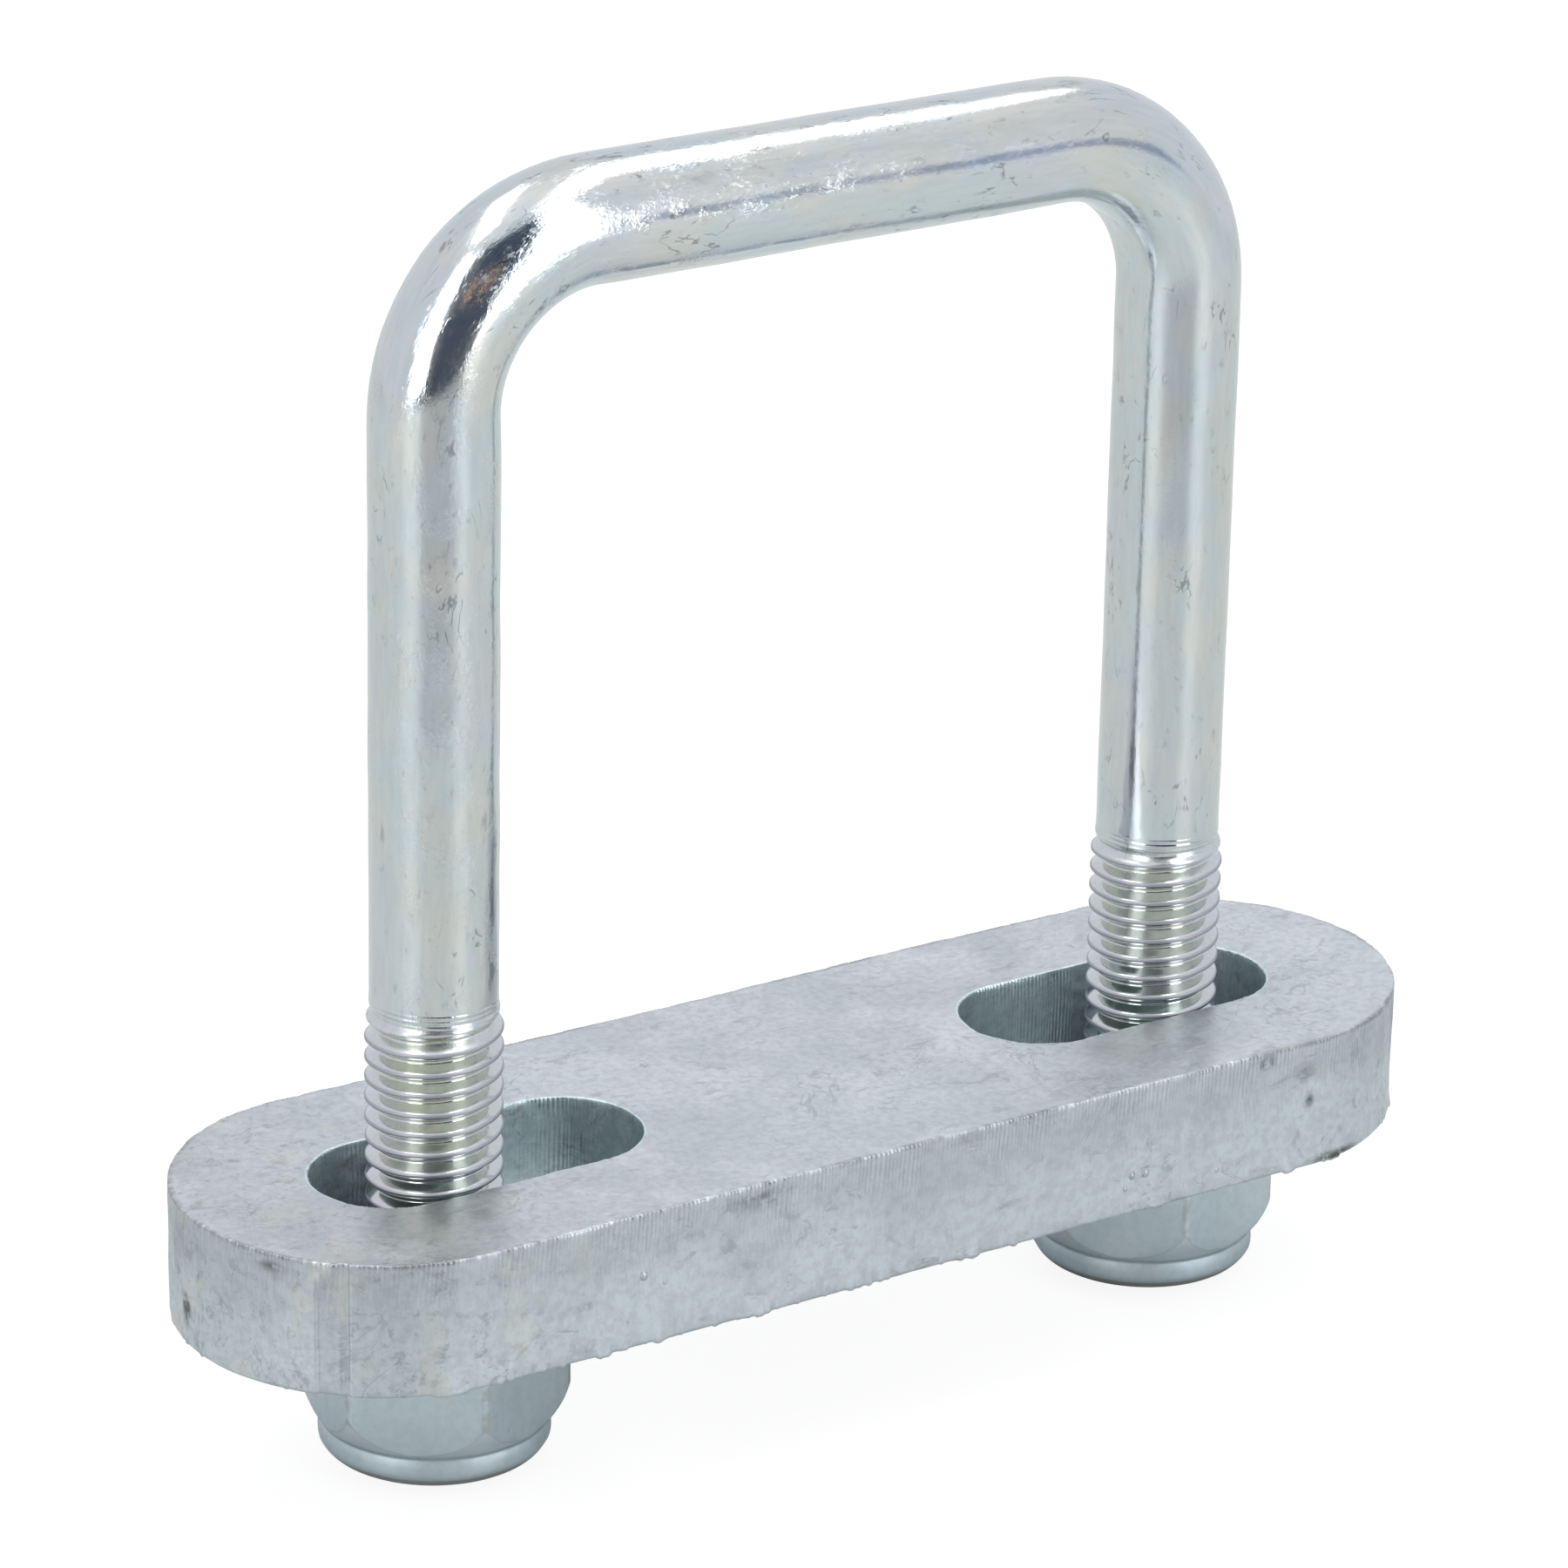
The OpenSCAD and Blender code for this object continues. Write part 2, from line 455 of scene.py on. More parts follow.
def lock_nut_mesh(side):
    mesh = Mesh()
    angles = hex_columns(26)
    world = angles + math.radians(NUT_TURNS[side])
    outline = np.array([nut_outline(r) for r in hex_radius(angles)])
    radius = outline[:, :, 0].T
    depth = outline[:, :, 1].T
    points = round_points(LEG_AT[side], radius, world, NUT_Z - depth)
    flat = points.reshape(-1, 3)
    swell = (0.016 * waves(flat, 5.5, 31) + 0.006 * waves(flat, 1.4, 32)).reshape(depth.shape)
    swell = swell * smooth(7.8, 8.1, radius)
    # The crimped lip is a little uneven round the opening
    lip = smooth(11.25, 11.45, depth) * (1 - smooth(6.2, 6.7, radius))
    swell = swell + 0.05 * lip * waves(flat, 3.0, 33).reshape(depth.shape)
    points = points + round_points(0, swell, world, 0)
    # The trace holds how near a point is to a corner edge, how far down it lies, and
    # whether it is on the rounded shoulder, which the material paints brighter as painted light
    corner = smooth(9.58, 9.69, radius)
    shoulder_light_mask = 0 * depth
    shoulder_light_mask[SHOULDER_ROWS] = 1
    rows = mesh.add(points, np.stack([corner, depth / NUT_H, shoulder_light_mask], -1))
    mesh.quads(rows)
    top = NUT_Z - outline[0, 0, 1]
    bottom = NUT_Z - outline[0, -1, 1]
    nut_thread(mesh, world, side, bottom, top, rows[-1], rows[0])
    return mesh


# ---------- nylon inserts

def nylon_insert_mesh(side):
    """A ring with rounded edges, bored just wide enough for the thread to pass."""
    mesh = Mesh()
    low, high = box_mm("nylon_insert_" + side)
    angles = np.arange(96) * 2 * math.pi / 96
    outer = (high[0] - low[0]) / 2
    top, bottom = high[2], low[2]
    outline = [(5.2, top - 0.08), (5.36, top), (5.9, top), (6.6, top),
               (outer - 0.15, top), (outer, top - 0.15), (outer, (top + bottom) / 2),
               (outer, bottom + 0.15), (outer - 0.15, bottom), (6.3, bottom),
               (5.8, bottom + 0.015), (5.5, bottom + 0.06), (5.24, bottom + 0.16),
               (5.09, bottom + 0.32), (5.03, (top + bottom) / 2), (5.09, top - 0.25)]
    radius, heights = np.array(outline).T[..., None]
    rows = mesh.add(round_points(LEG_AT[side], radius, angles, heights))
    mesh.quads(np.concatenate([rows, rows[:1]]))
    return mesh


# ---------- clamping plate

def round_ended(length, width, centre_x, spacing):
    """Points round an outline with straight sides and round ends, anticlockwise from the
    left end of the -Y side, with outward directions and distances along it."""
    straight, radius = length - width, width / 2
    half = straight + math.pi * radius
    count = 4 * round(half / spacing / 2)
    along = np.arange(count) * 2 * half / count
    # The second half of the outline is the first, turned half way round
    side = np.where(along < half, 1, -1)
    place = along % half
    turn = np.maximum(place - straight, 0) / radius - math.pi / 2
    out = side[:, None] * np.stack([np.cos(turn), np.sin(turn)], -1)
    points = radius * out
    points[:, 0] += centre_x + side * (np.minimum(place, straight) - straight / 2)
    return points, out, along


def striations(along, depth, pitch, seed):
    """The drag lines that a cutting flame leaves: about -0.6 in a groove, 0.4 on a ridge."""
    rng = np.random.default_rng(seed)
    shifts = rng.uniform(0, 2 * math.pi, 4)
    bend = 0.05 * depth ** 1.5
    place = along + bend
    wander = 0.30 * np.sin(along * 0.83 + shifts[0]) + 0.22 * np.sin(along * 2.3 + shifts[1])
    lines = np.abs(np.sin(math.pi * (place / pitch + wander))) ** 0.7
    strength = (0.65 + 0.3 * np.sin(along * 0.61 + shifts[2])
                + 0.25 * np.sin(along * 1.7 + shifts[3]))
    fade = 1 - 0.75 * smooth(2.4, 6.5, depth + 0.9 * np.sin(along * 0.45 + shifts[1]))
    return (lines - 0.6) * np.clip(strength, 0.28, 1) * fade


# The cut starts and ends in a shallow upright groove at the front of the left end
SCAR_LEFT = math.radians(-138.4)
SCAR_RIGHT = math.radians(-129.8)


def scar_depth(points, depth):
    """Depth of the groove where the flame entered, with a slanting notch at its top."""
    end_x = -(PLATE_L - PLATE_W) / 2
    angle = np.arctan2(points[:, 1], points[:, 0] - end_x)
    at_end = points[:, 0] < end_x + 1
    arc = (angle - SCAR_LEFT) * PLATE_W / 2
    width = (SCAR_RIGHT - SCAR_LEFT) * PLATE_W / 2
    notch = 1.5 * (1 - smooth(0.1, 2.6, depth))
    left_edge = smooth(notch - 0.12, notch + 0.14, arc)
    right_edge = 1 - smooth(width - 0.10, width + 0.16, arc)
    ridge = 0.10 * np.exp(-((arc - notch + 0.3) / 0.28) ** 2) * (1 - smooth(2.2, 3.4, depth))
    middle = 0.05 * np.exp(-((arc - 0.70 * width) / 0.16) ** 2) * smooth(4.0, 5.5, depth)
    return at_end * (0.20 * left_edge * right_edge - ridge - middle)


# Beads of zinc on the front side: x, z and radius
BEADS = [(18.7, -7.0, 0.26), (19.9, -7.05, 0.30), (18.1, -7.9, 0.18), (-23.1, -4.7, 0.32),
         (-21.4, -5.6, 0.16), (26.3, -8.3, 0.20)]


def add_beads(mesh):
    """Adds the small flattened beads, half sunk in the wall."""
    turns = np.arange(12) * math.pi / 6
    for x, z, radius in BEADS:
        front = -PLATE_W / 2 + 0.02
        rings = []
        for tilt in np.radians((20, 45, 70, 90, 115, 140)):
            wide = radius * math.sin(tilt)
            rings.append(np.stack([x + wide * np.cos(turns),
                                   np.full(12, front - 0.5 * radius * math.cos(tilt)),
                                   z + 1.1 * wide * np.sin(turns)], -1))
        rings = mesh.add(np.array(rings))
        mesh.quads(rings)
        mesh.fan(rings[0], int(mesh.add([x, front - 0.5 * radius, z])))
        mesh.fan(rings[-1], int(mesh.add([x, front + 0.42 * radius, z])))


# Dark marks on the walls: centre, spread along the wall, spread in height and strength
MARKS = [((-49.9, 1.5, -7.2), 0.65, 1.1, 1.0), ((-48.2, -7.2, -1.0), 1.5, 0.6, 0.55),
         ((34.0, -15.0, -2.4), 0.8, 0.5, 0.5), ((34.6, -15.0, -4.6), 0.5, 0.35, 0.6),
         ((-27.5, -15.0, -9.3), 2.2, 0.4, 0.5), ((37.5, -14.9, -9.7), 2.6, 0.22, 0.8),
         ((6.0, -15.0, -5.2), 0.35, 0.25, 0.8), ((2.9, -15.0, -6.6), 0.3, 0.3, 0.6),
         ((-13.5, -15.0, -1.1), 3.2, 0.7, 0.5), ((30.6, -15.0, -0.7), 0.9, 0.5, 0.7)]


def dark_marks(points):
    """How dark the marks are at each point."""
    total = np.zeros(len(points))
    for centre, wide, tall, strength in MARKS:
        away = np.hypot(points[:, 0] - centre[0], points[:, 1] - centre[1]) / wide
        away = np.hypot(away, (points[:, 2] - centre[2]) / tall)
        total = np.maximum(total, strength * np.exp(-away ** 2))
    return total


def wall(mesh, points, out, along, is_slot, seed):
    """Adds a cut wall from the top face's rim to the bottom face's rim.

    Returns the point numbers and the places of both rims. The trace holds how deep in a
    groove a point is, which the material darkens as dirt together with painted shade (on
    the worn top rim it also holds painted shade that dims the rim's highlight), how far
    down it is (a share of the thickness plus 0.1, or plus 2 in a slot) and how marked it is.
    """
    side = -1.0 if is_slot else 1.0
    pitch = 0.30 if is_slot else 0.34
    thickness = PLATE_TOP - PLATE_BOTTOM
    rim = 0.42
    # Inset and depth of each row; rows of the top rim are scaled by its wear
    steps = [(rim, 0.0), (0.14, 0.0), (0.045, 0.035), (0.0, 0.13)]
    if is_slot:
        depths = (0.5, 1.2, 2.4, 3.9, 5.6, 7.4, 8.9)
    else:
        depths = (0.4, 0.9, 1.6, 2.5, 3.5, 4.6, 5.8, 7.0, 8.1, 9.0)
    steps += [(0.0, d) for d in depths]
    steps += [(0.0, 9.66), (0.04, thickness - 0.13), (0.15, thickness - 0.03),
              (0.30, thickness), (rim + 0.1, thickness)]
    flat = np.concatenate([points, np.zeros((len(points), 1))], axis=1)
    wear = 0.75 + 0.35 * waves(flat, 2.6, seed + 5) + 0.18 * waves(flat, 0.6, seed + 6)
    wear = np.clip(wear, 0.25, 1.7)
    rows, traces = [], []
    for number, (inset, depth) in enumerate(steps):
        on_face = number == 0 or number == len(steps) - 1
        depth = np.full(len(points), depth)
        inset = np.full(len(points), inset)
        if number in (1, 2, 3):
            depth = depth * wear
            inset = inset * wear
        reach = 0.0 if on_face else 1 - smooth(0.25, 0.42, inset)
        lines = striations(along, depth, pitch, seed)
        here = flat - np.stack([0 * depth, 0 * depth, depth], -1)
        swell = 0.05 * waves(here, 17, seed + 1) + 0.018 * waves(here, 3.6, seed + 2)
        swell += 0.008 * waves(here, 1.1, seed + 7)
        offset = (0.10 if is_slot else 0.08) * lines + swell * (0.5 if is_slot else 1.0)
        scar = 0.0
        if not is_slot:
            scar = scar_depth(points, depth)
            offset = offset - scar
        lower = smooth(thickness - 0.9, thickness - 0.1, depth)
        burr = np.clip(waves(flat, 2.1, seed + 3) + 0.6 * waves(flat, 0.8, seed + 4) - 0.35, 0, 2)
        offset = offset + lower * 0.07 * burr
        drop = 0 * burr if is_slot else lower * reach * 0.10 * burr
        shift = side * (offset * reach - inset)
        row = np.stack([points[:, 0] + out[:, 0] * shift, points[:, 1] + out[:, 1] * shift,
                        PLATE_TOP - depth - drop], -1)
        rows.append(row)
        groove_dirt_and_shade = np.clip(-lines / 0.6, 0, 1) + 1.7 * np.clip(scar, 0, 1)
        # On the worn top rim this value also holds painted shade that dims the rim's highlight
        if number in (1, 2, 3) and not is_slot:
            groove_dirt_and_shade = groove_dirt_and_shade + np.clip(0.9 + 0.55 * waves(flat, 0.5, seed + 8)
                                      + 0.8 * waves(flat, 6.0, seed + 9), 0, 2.2)
        level = depth / thickness + (2.0 if is_slot else 0.1)
        if on_face:
            groove_dirt_and_shade, level = 0 * groove_dirt_and_shade, 0 * level
        traces.append(np.stack([groove_dirt_and_shade, level, dark_marks(row)], -1))
    rows = np.array(rows)
    numbers = mesh.add(rows, traces)
    mesh.quads(numbers)
    return (numbers[0], rows[0]), (numbers[-1], rows[-1])


def face_relief(points):
    """Gentle unevenness of the rolled faces, in millimetres."""
    flat = np.concatenate([points[:, :2], np.zeros((len(points), 1))], axis=1)
    return (0.022 * waves(flat, 14, 51) + 0.010 * waves(flat, 4.5, 52)
            + 0.004 * waves(flat, 1.7, 53))


def inside_outline(points, length, width, centre_x, margin):
    """Whether points lie within a round-ended outline that is shrunk by margin."""
    along = np.clip(np.abs(points[:, 0] - centre_x) - (length - width) / 2, 0, None)
    return np.hypot(along, points[:, 1]) < width / 2 - margin


def plate_face(mesh, rims, height, up):
    """Fills a flat face between the rims of the outer wall and the two slots."""
    outlines = [(PLATE_L, PLATE_W, 0.0)] + [(SLOT_L, SLOT_W, x) for x in (-SLOT_X, SLOT_X)]
    loops, positions, count = [], [], 0
    for numbers, rows in rims:
        loops.append(np.arange(len(numbers)) + count)
        positions.append(rows[:, :2])
        count += len(numbers)
    rim_numbers = np.concatenate([numbers for numbers, _ in rims])
    # Rings of points that grow coarser away from each rim, then an even field
    extra = []
    for gap, spacing in ((0.62, 0.22), (0.95, 0.42), (1.55, 0.8)):
        for number, (length, width, centre_x) in enumerate(outlines):
            grow = -gap if number == 0 else gap
            ring = round_ended(length + 2 * grow, width + 2 * grow, centre_x, spacing)[0]
            extra.append(ring)
    spacing = 0.95
    grid_x, grid_y = np.meshgrid(np.arange(-50, 50, spacing), np.arange(-15, 15, spacing * 0.87))
    grid_x = grid_x + (np.arange(len(grid_x)) % 2)[:, None] * spacing / 2
    field = np.stack([grid_x.ravel(), grid_y.ravel()], -1)
    keep = inside_outline(field, *outlines[0], 2.1)
    for outline in outlines[1:]:
        keep &= ~inside_outline(field, *outline, -2.1)
    extra.append(field[keep])
    extra = np.concatenate(extra)
    flat = np.concatenate(positions + [extra])
    edges = []
    for loop in loops:
        edges += list(zip(loop.tolist(), np.roll(loop, -1).tolist()))
    found = geometry.delaunay_2d_cdt([Vector(p) for p in flat.tolist()], edges, [], 0, 1e-6)
    relief = np.concatenate([extra, np.full((len(extra), 1), height)], axis=1)
    # The underside is only ever hollow, so that the nuts bear on it without cutting in
    swell = face_relief(extra)
    relief[:, 2] += swell if up else np.clip(swell + 0.03, 0, None)
    extra_numbers = mesh.add(relief)
    numbers = np.concatenate([rim_numbers, extra_numbers])
    originals = [source[0] if source else -1 for source in found[3]]
    # Which rim each point lies on: 0 outer, 1 and 2 slots, -1 none. A triangle with all
    # its corners on one slot's rim lies across the slot.
    owner = np.concatenate([np.full(len(loop), number) for number, loop in enumerate(loops)]
                           + [np.full(len(extra), -1)])
    for face in found[2]:
        corners = [originals[v] for v in face]
        middle = flat[corners].mean(0)[None]
        if not inside_outline(middle, *outlines[0], 0):
            continue
        if any(inside_outline(middle, *outline, 0)[0] for outline in outlines[1:]):
            continue
        loop = owner[corners]
        if loop[0] > 0 and (loop == loop[0]).all():
            continue
        mesh.faces.append([int(numbers[c]) for c in corners])


def clamp_plate_mesh():
    mesh = Mesh()
    top_rims, bottom_rims = [], []
    outlines = [(PLATE_L, PLATE_W, 0.0, False, 0.085),
                (SLOT_L, SLOT_W, -SLOT_X, True, 0.075), (SLOT_L, SLOT_W, SLOT_X, True, 0.075)]
    for number, (length, width, centre_x, is_slot, spacing) in enumerate(outlines):
        points, out, along = round_ended(length, width, centre_x, spacing)
        top, bottom = wall(mesh, points, out, along, is_slot, 60 + 10 * number)
        top_rims.append(top)
        bottom_rims.append(bottom)
    plate_face(mesh, top_rims, PLATE_TOP, True)
    plate_face(mesh, bottom_rims, PLATE_BOTTOM, False)
    add_beads(mesh)
    return mesh


# ---------- materials

class Nodes:
    """Short calls for building a node tree."""

    def __init__(self, tree):
        self.tree = tree
        tree.nodes.clear()

    def add(self, kind, values=None, **settings):
        """A node with its settings, and with inputs from sockets or plain values."""
        made = self.tree.nodes.new(kind)
        for key, value in settings.items():
            setattr(made, key, value)
        for key, value in (values or {}).items():
            self.feed(made.inputs[key], value)
        return made

    def feed(self, socket, value):
        if isinstance(value, bpy.types.NodeSocket):
            self.tree.links.new(value, socket)
        elif socket.type == "RGBA":
            socket.default_value = (*value, 1.0)
        else:
            socket.default_value = value

    def math(self, operation, a, b=0.0):
        return self.add("ShaderNodeMath", {0: a, 1: b}, operation=operation).outputs[0]

    def noise(self, vector, scale, detail=3.0, rough=0.5, distortion=0.0):
        made = self.add("ShaderNodeTexNoise", {"Vector": vector, "Scale": scale,
                                               "Detail": detail, "Roughness": rough,
                                               "Distortion": distortion})
        return made.outputs["Fac"]

    def stretch(self, vector, scale):
        return self.add("ShaderNodeMapping", {"Vector": vector, "Scale": scale}).outputs[0]

    def band(self, value, low, high, to_low=0.0, to_high=1.0):
        """Maps low..high to to_low..to_high along an S-curve."""
        made = self.add("ShaderNodeMapRange", {"Value": value, "From Min": low,
                                               "From Max": high, "To Min": to_low,
                                               "To Max": to_high},
                        interpolation_type="SMOOTHSTEP")
        return made.outputs[0]

    def off(self, value, middle):
        """How far a value is from a middle one."""
        return self.math("ABSOLUTE", self.math("SUBTRACT", value, middle))

    def line(self, value, half_width):
        """1 where a noise crosses its middle value: a thin curling line."""
        return self.band(self.off(value, 0.5), half_width, half_width * 0.3)

    def times(self, *values):
        product = values[0]
        for value in values[1:]:
            product = self.math("MULTIPLY", product, value)
        return product

    def plus(self, value, *factors):
        """A value and the product of the factors, added up."""
        return self.math("ADD", value, self.times(*factors))

    def trace(self):
        """The three numbers that the mesh carries at each point."""
        return self.add("ShaderNodeAttribute", attribute_name="trace").outputs["Vector"]

    def place(self):
        """The point's own x, y and z, in metres."""
        return self.add("ShaderNodeTexCoord").outputs["Object"]

    def parts(self, vector):
        return self.add("ShaderNodeSeparateXYZ", {0: vector}).outputs

    def azimuth(self, parts):
        """Degrees round +Z from -Y, turning towards +X."""
        behind = self.math("MULTIPLY", parts[1], -1.0)
        return self.math("DEGREES", self.math("ARCTAN2", parts[0], behind))

    def mix(self, factor, a, b):
        return self.add("ShaderNodeMix", {0: factor, 6: a, 7: b}, data_type="RGBA").outputs[2]

    def cover(self, colour, over, *shares):
        """A colour with another laid over it, as strongly as the product of the shares."""
        return self.mix(self.times(*shares), colour, over)

    def bump(self, height, strength, distance, normal=None):
        values = {"Height": height, "Strength": strength, "Distance": distance}
        if normal is not None:
            values["Normal"] = normal
        return self.add("ShaderNodeBump", values).outputs[0]

    def surface(self, **inputs):
        """Ends a material with one shader."""
        values = {name.replace("_", " "): value for name, value in inputs.items()}
        shader = self.add("ShaderNodeBsdfPrincipled", values)
        self.add("ShaderNodeOutputMaterial", {"Surface": shader.outputs[0]})


def new_material(name):
    material = bpy.data.materials.new(name)
    material.use_nodes = True
    return material, Nodes(material.node_tree)


def bolt_zinc():
    """Frosty bright zinc on a drawn rod, with grain along it, squiggles, stains and tints."""
    material, n = new_material("bolt_zinc")
    rod = n.trace()
    long_rod = n.stretch(rod, (1, 1, 0.40))
    half_rod = n.stretch(rod, (1, 1, 0.5))
    place = n.place()
    # Patches of faint blue, pale yellow and lilac
    warm = n.band(n.noise(half_rod, 230, 3, 0.6), 0.42, 0.62)
    colour = n.mix(warm, (0.63, 0.69, 0.715), (0.695, 0.70, 0.67))
    lilac = n.band(n.noise(n.stretch(rod, (1, 1, 0.4)), 150, 3, 0.6), 0.50, 0.66)
    colour = n.cover(colour, (0.675, 0.68, 0.725), lilac, 0.6)
    parts = n.parts(place)
    height = parts[2]
    facing = n.add("ShaderNodeNewGeometry").outputs["Normal"]
    facing_down = n.band(n.parts(facing)[2], 0.1, -0.4)
    legs = n.band(height, 0.056, 0.040)
    colour = n.cover(colour, (0.34, 0.37, 0.39), legs, 0.08)
    threaded = n.band(height, 0.0130, 0.0105)
    colour = n.cover(colour, (0.675, 0.69, 0.70), threaded, 0.7)
    # Painted reflection: an olive tint on the threads' downward-facing flanks
    olive_reflection = n.band(n.noise(place, 180, 2, 0.6), 0.35, 0.65, 0.45, 1.0)
    colour = n.cover(colour, (0.655, 0.70, 0.56), threaded, facing_down, olive_reflection)
    plain = n.math("SUBTRACT", 1.0, n.times(threaded, 0.85))
    # Fine grain along the rod
    grain = n.noise(n.stretch(rod, (1, 1, 0.16)), 2300, 3, 0.6)
    colour = n.mix(n.band(grain, 0.35, 0.65, 0.12, 0.0), colour, (0.34, 0.37, 0.39))
    # Squiggles, smears and spots of dark residue
    area = n.band(n.noise(n.stretch(rod, (1, 1, 0.6)), 150, 3, 0.6), 0.49, 0.58)
    squiggle = n.line(n.noise(long_rod, 430, 3, 0.6, 0.6), 0.020)
    squiggle = n.times(squiggle, area, n.band(n.noise(rod, 640, 2, 0.5), 0.48, 0.58))
    colour = n.cover(colour, (0.18, 0.22, 0.23), squiggle, plain, 0.62)
    smear = n.band(n.noise(long_rod, 620, 4, 0.65), 0.59, 0.70)
    smear = n.times(smear, n.band(n.noise(half_rod, 230, 2, 0.5), 0.50, 0.62))
    colour = n.cover(colour, (0.25, 0.29, 0.31), smear, plain, 0.45)
    fleck = n.band(n.noise(n.stretch(rod, (1, 1, 0.55)), 1500, 3, 0.6), 0.63, 0.73)
    colour = n.cover(colour, (0.25, 0.29, 0.31), fleck, plain, 0.30)
    # The thread's crests are duller than its roots, which the rolling dies pressed smooth
    from_axis = n.add("ShaderNodeVectorMath", {0: n.stretch(rod, (1, 1, 0))},
                      operation="LENGTH").outputs["Value"]
    crest = n.times(threaded, n.band(from_axis, 0.00470, 0.00480))
    rough = n.band(n.noise(long_rod, 300, 4, 0.6), 0.35, 0.70, 0.09, 0.16)
    colour = n.cover(colour, (0.37, 0.38, 0.42), crest, 0.85)
    run_out = n.times(n.band(height, 0.0098, 0.0106), n.band(height, 0.0130, 0.0124))
    rough = n.plus(rough, crest, 0.36)
    rough = n.plus(rough, run_out, 0.14)
    frosted = n.band(n.noise(half_rod, 560, 4, 0.65), 0.47, 0.62)
    speckle = n.band(n.noise(half_rod, 3600, 3, 0.6), 0.50, 0.64)
    # The plating is frostier on the left half
    frosted = n.times(frosted, n.band(parts[0], 0.012, -0.008, 0.25, 1.0))
    rough = n.plus(rough, frosted, speckle, plain, 0.20)
    rough = n.plus(rough, speckle, plain, 0.05)
    rough = n.plus(rough, smear, 0.08)
    frost = n.noise(n.stretch(rod, (1, 1, 0.6)), 4200, 3, 0.7)
    ripple = n.noise(n.stretch(rod, (1, 1, 0.4)), 900, 3, 0.6)
    normal = n.bump(n.times(frost, plain, n.math("ADD", 0.3, frosted)), 0.7, 0.000028)
    normal = n.bump(n.times(ripple, plain), 0.35, 0.00002, normal)
    n.surface(Base_Color=colour, Metallic=1.0, Roughness=rough, Normal=normal)
    return material


def plate_zinc():
    """Satin zinc over rolled and flame-cut steel: curls, strokes and grime."""
    material, n = new_material("plate_zinc")
    place = n.place()
    groove_dirt_and_shade, level, mark = n.parts(n.trace())
    facing = n.add("ShaderNodeNewGeometry").outputs["Normal"]
    upward = n.math("ABSOLUTE", n.parts(facing)[2])
    flat_face = n.band(upward, 0.6, 0.9)
    cut_side = n.math("SUBTRACT", 1.0, flat_face)
    blotch = n.noise(place, 120, 5, 0.62, 0.6)
    cloud = n.noise(place, 34, 3, 0.5)
    colour = n.mix(n.band(blotch, 0.36, 0.66), (0.575, 0.605, 0.64), (0.69, 0.70, 0.725))
    colour = n.mix(n.band(cloud, 0.40, 0.62, 0.0, 0.5), colour, (0.60, 0.65, 0.685))
    along_plate = n.parts(place)[0]
    dull_end = n.band(along_plate, -0.024, -0.046, 0.0, 0.17)
    colour = n.mix(dull_end, colour, (0.34, 0.37, 0.40))
    # Cut side: darker near the top than lower down
    lower = n.band(n.plus(level, n.math("SUBTRACT", blotch, 0.5), 1.2), 0.25, 0.75)
    side_colour = n.mix(lower, (0.505, 0.545, 0.585), (0.585, 0.64, 0.69))
    side_colour = n.cover(side_colour, (0.30, 0.33, 0.36), dull_end, 0.4)
    colour = n.mix(cut_side, colour, side_colour)
    # Painted light: the slot walls are painted paler and bluer than the outer walls, and paler
    # still lower down, for light coming up from the floor through the slot
    in_slot = n.band(level, 1.2, 1.6)
    slot_painted_light = n.mix(n.band(level, 2.45, 2.8), (0.70, 0.84, 0.87), (0.94, 0.99, 1.0))
    colour = n.mix(in_slot, colour, slot_painted_light)
    # Dirt together with painted shade in the drag-line grooves and the scar, stronger in the
    # slots, and painted shade along the worn top rim to dim its highlight
    groove_dark = n.plus(0.34, in_slot, 0.10)
    colour = n.cover(colour, (0.22, 0.23, 0.23), groove_dirt_and_shade, groove_dark)
    # Grain, curling lines, short strokes along the rolling direction and dark grime
    grain = n.noise(place, 1500, 4, 0.65)
    colour = n.mix(n.band(grain, 0.35, 0.62, 0.30, 0.0), colour, (0.34, 0.35, 0.36))
    curl = n.line(n.noise(place, 130, 4, 0.6, 0.8), 0.012)
    curl = n.times(curl, n.band(n.noise(place, 80, 3, 0.6), 0.49, 0.60))
    colour = n.cover(colour, (0.32, 0.33, 0.35), curl, 0.42)
    stroke = n.band(n.noise(n.stretch(place, (0.38, 1, 0.7)), 800, 5, 0.70, 0.5), 0.53, 0.66)
    stroke = n.times(stroke, n.band(n.noise(place, 150, 4, 0.65), 0.40, 0.58))
    colour = n.cover(colour, (0.32, 0.33, 0.33), stroke, 0.52)
    grime = n.band(n.noise(place, 480, 5, 0.72, 0.4), 0.59, 0.70)
    grime = n.times(grime, n.band(n.noise(place, 110, 3, 0.6), 0.50, 0.62))
    colour = n.cover(colour, (0.20, 0.19, 0.18), grime, 0.58)
    # Fine specks and warm spots, most of all on the left end
    near_end = n.band(along_plate, -0.018, -0.040, 0.2, 1.0)
    speck = n.band(n.noise(place, 850, 5, 0.75), 0.55, 0.65)
    colour = n.cover(colour, (0.24, 0.25, 0.26), speck, near_end, 0.45)
    warm = n.band(n.noise(place, 260, 4, 0.65), 0.54, 0.66)
    colour = n.cover(colour, (0.66, 0.64, 0.56), warm, near_end, 0.35)
    broken = n.band(n.noise(place, 1300, 3, 0.6), 0.30, 0.55)
    colour = n.cover(colour, (0.07, 0.07, 0.065), n.band(mark, 0.05, 0.7), broken, 0.9)
    rough = n.band(blotch, 0.30, 0.70, 0.31, 0.46)
    rough = n.plus(rough, stroke, 0.12)
    normal = n.bump(n.noise(place, 1900, 4, 0.65), 0.35, 0.00005)
    normal = n.bump(n.noise(place, 380, 4, 0.6), 0.30, 0.00012, normal)
    normal = n.bump(n.times(stroke, -1.0), 0.3, 0.00005, normal)
    n.surface(Base_Color=colour, Metallic=0.88, Roughness=rough, Normal=normal)
    return material


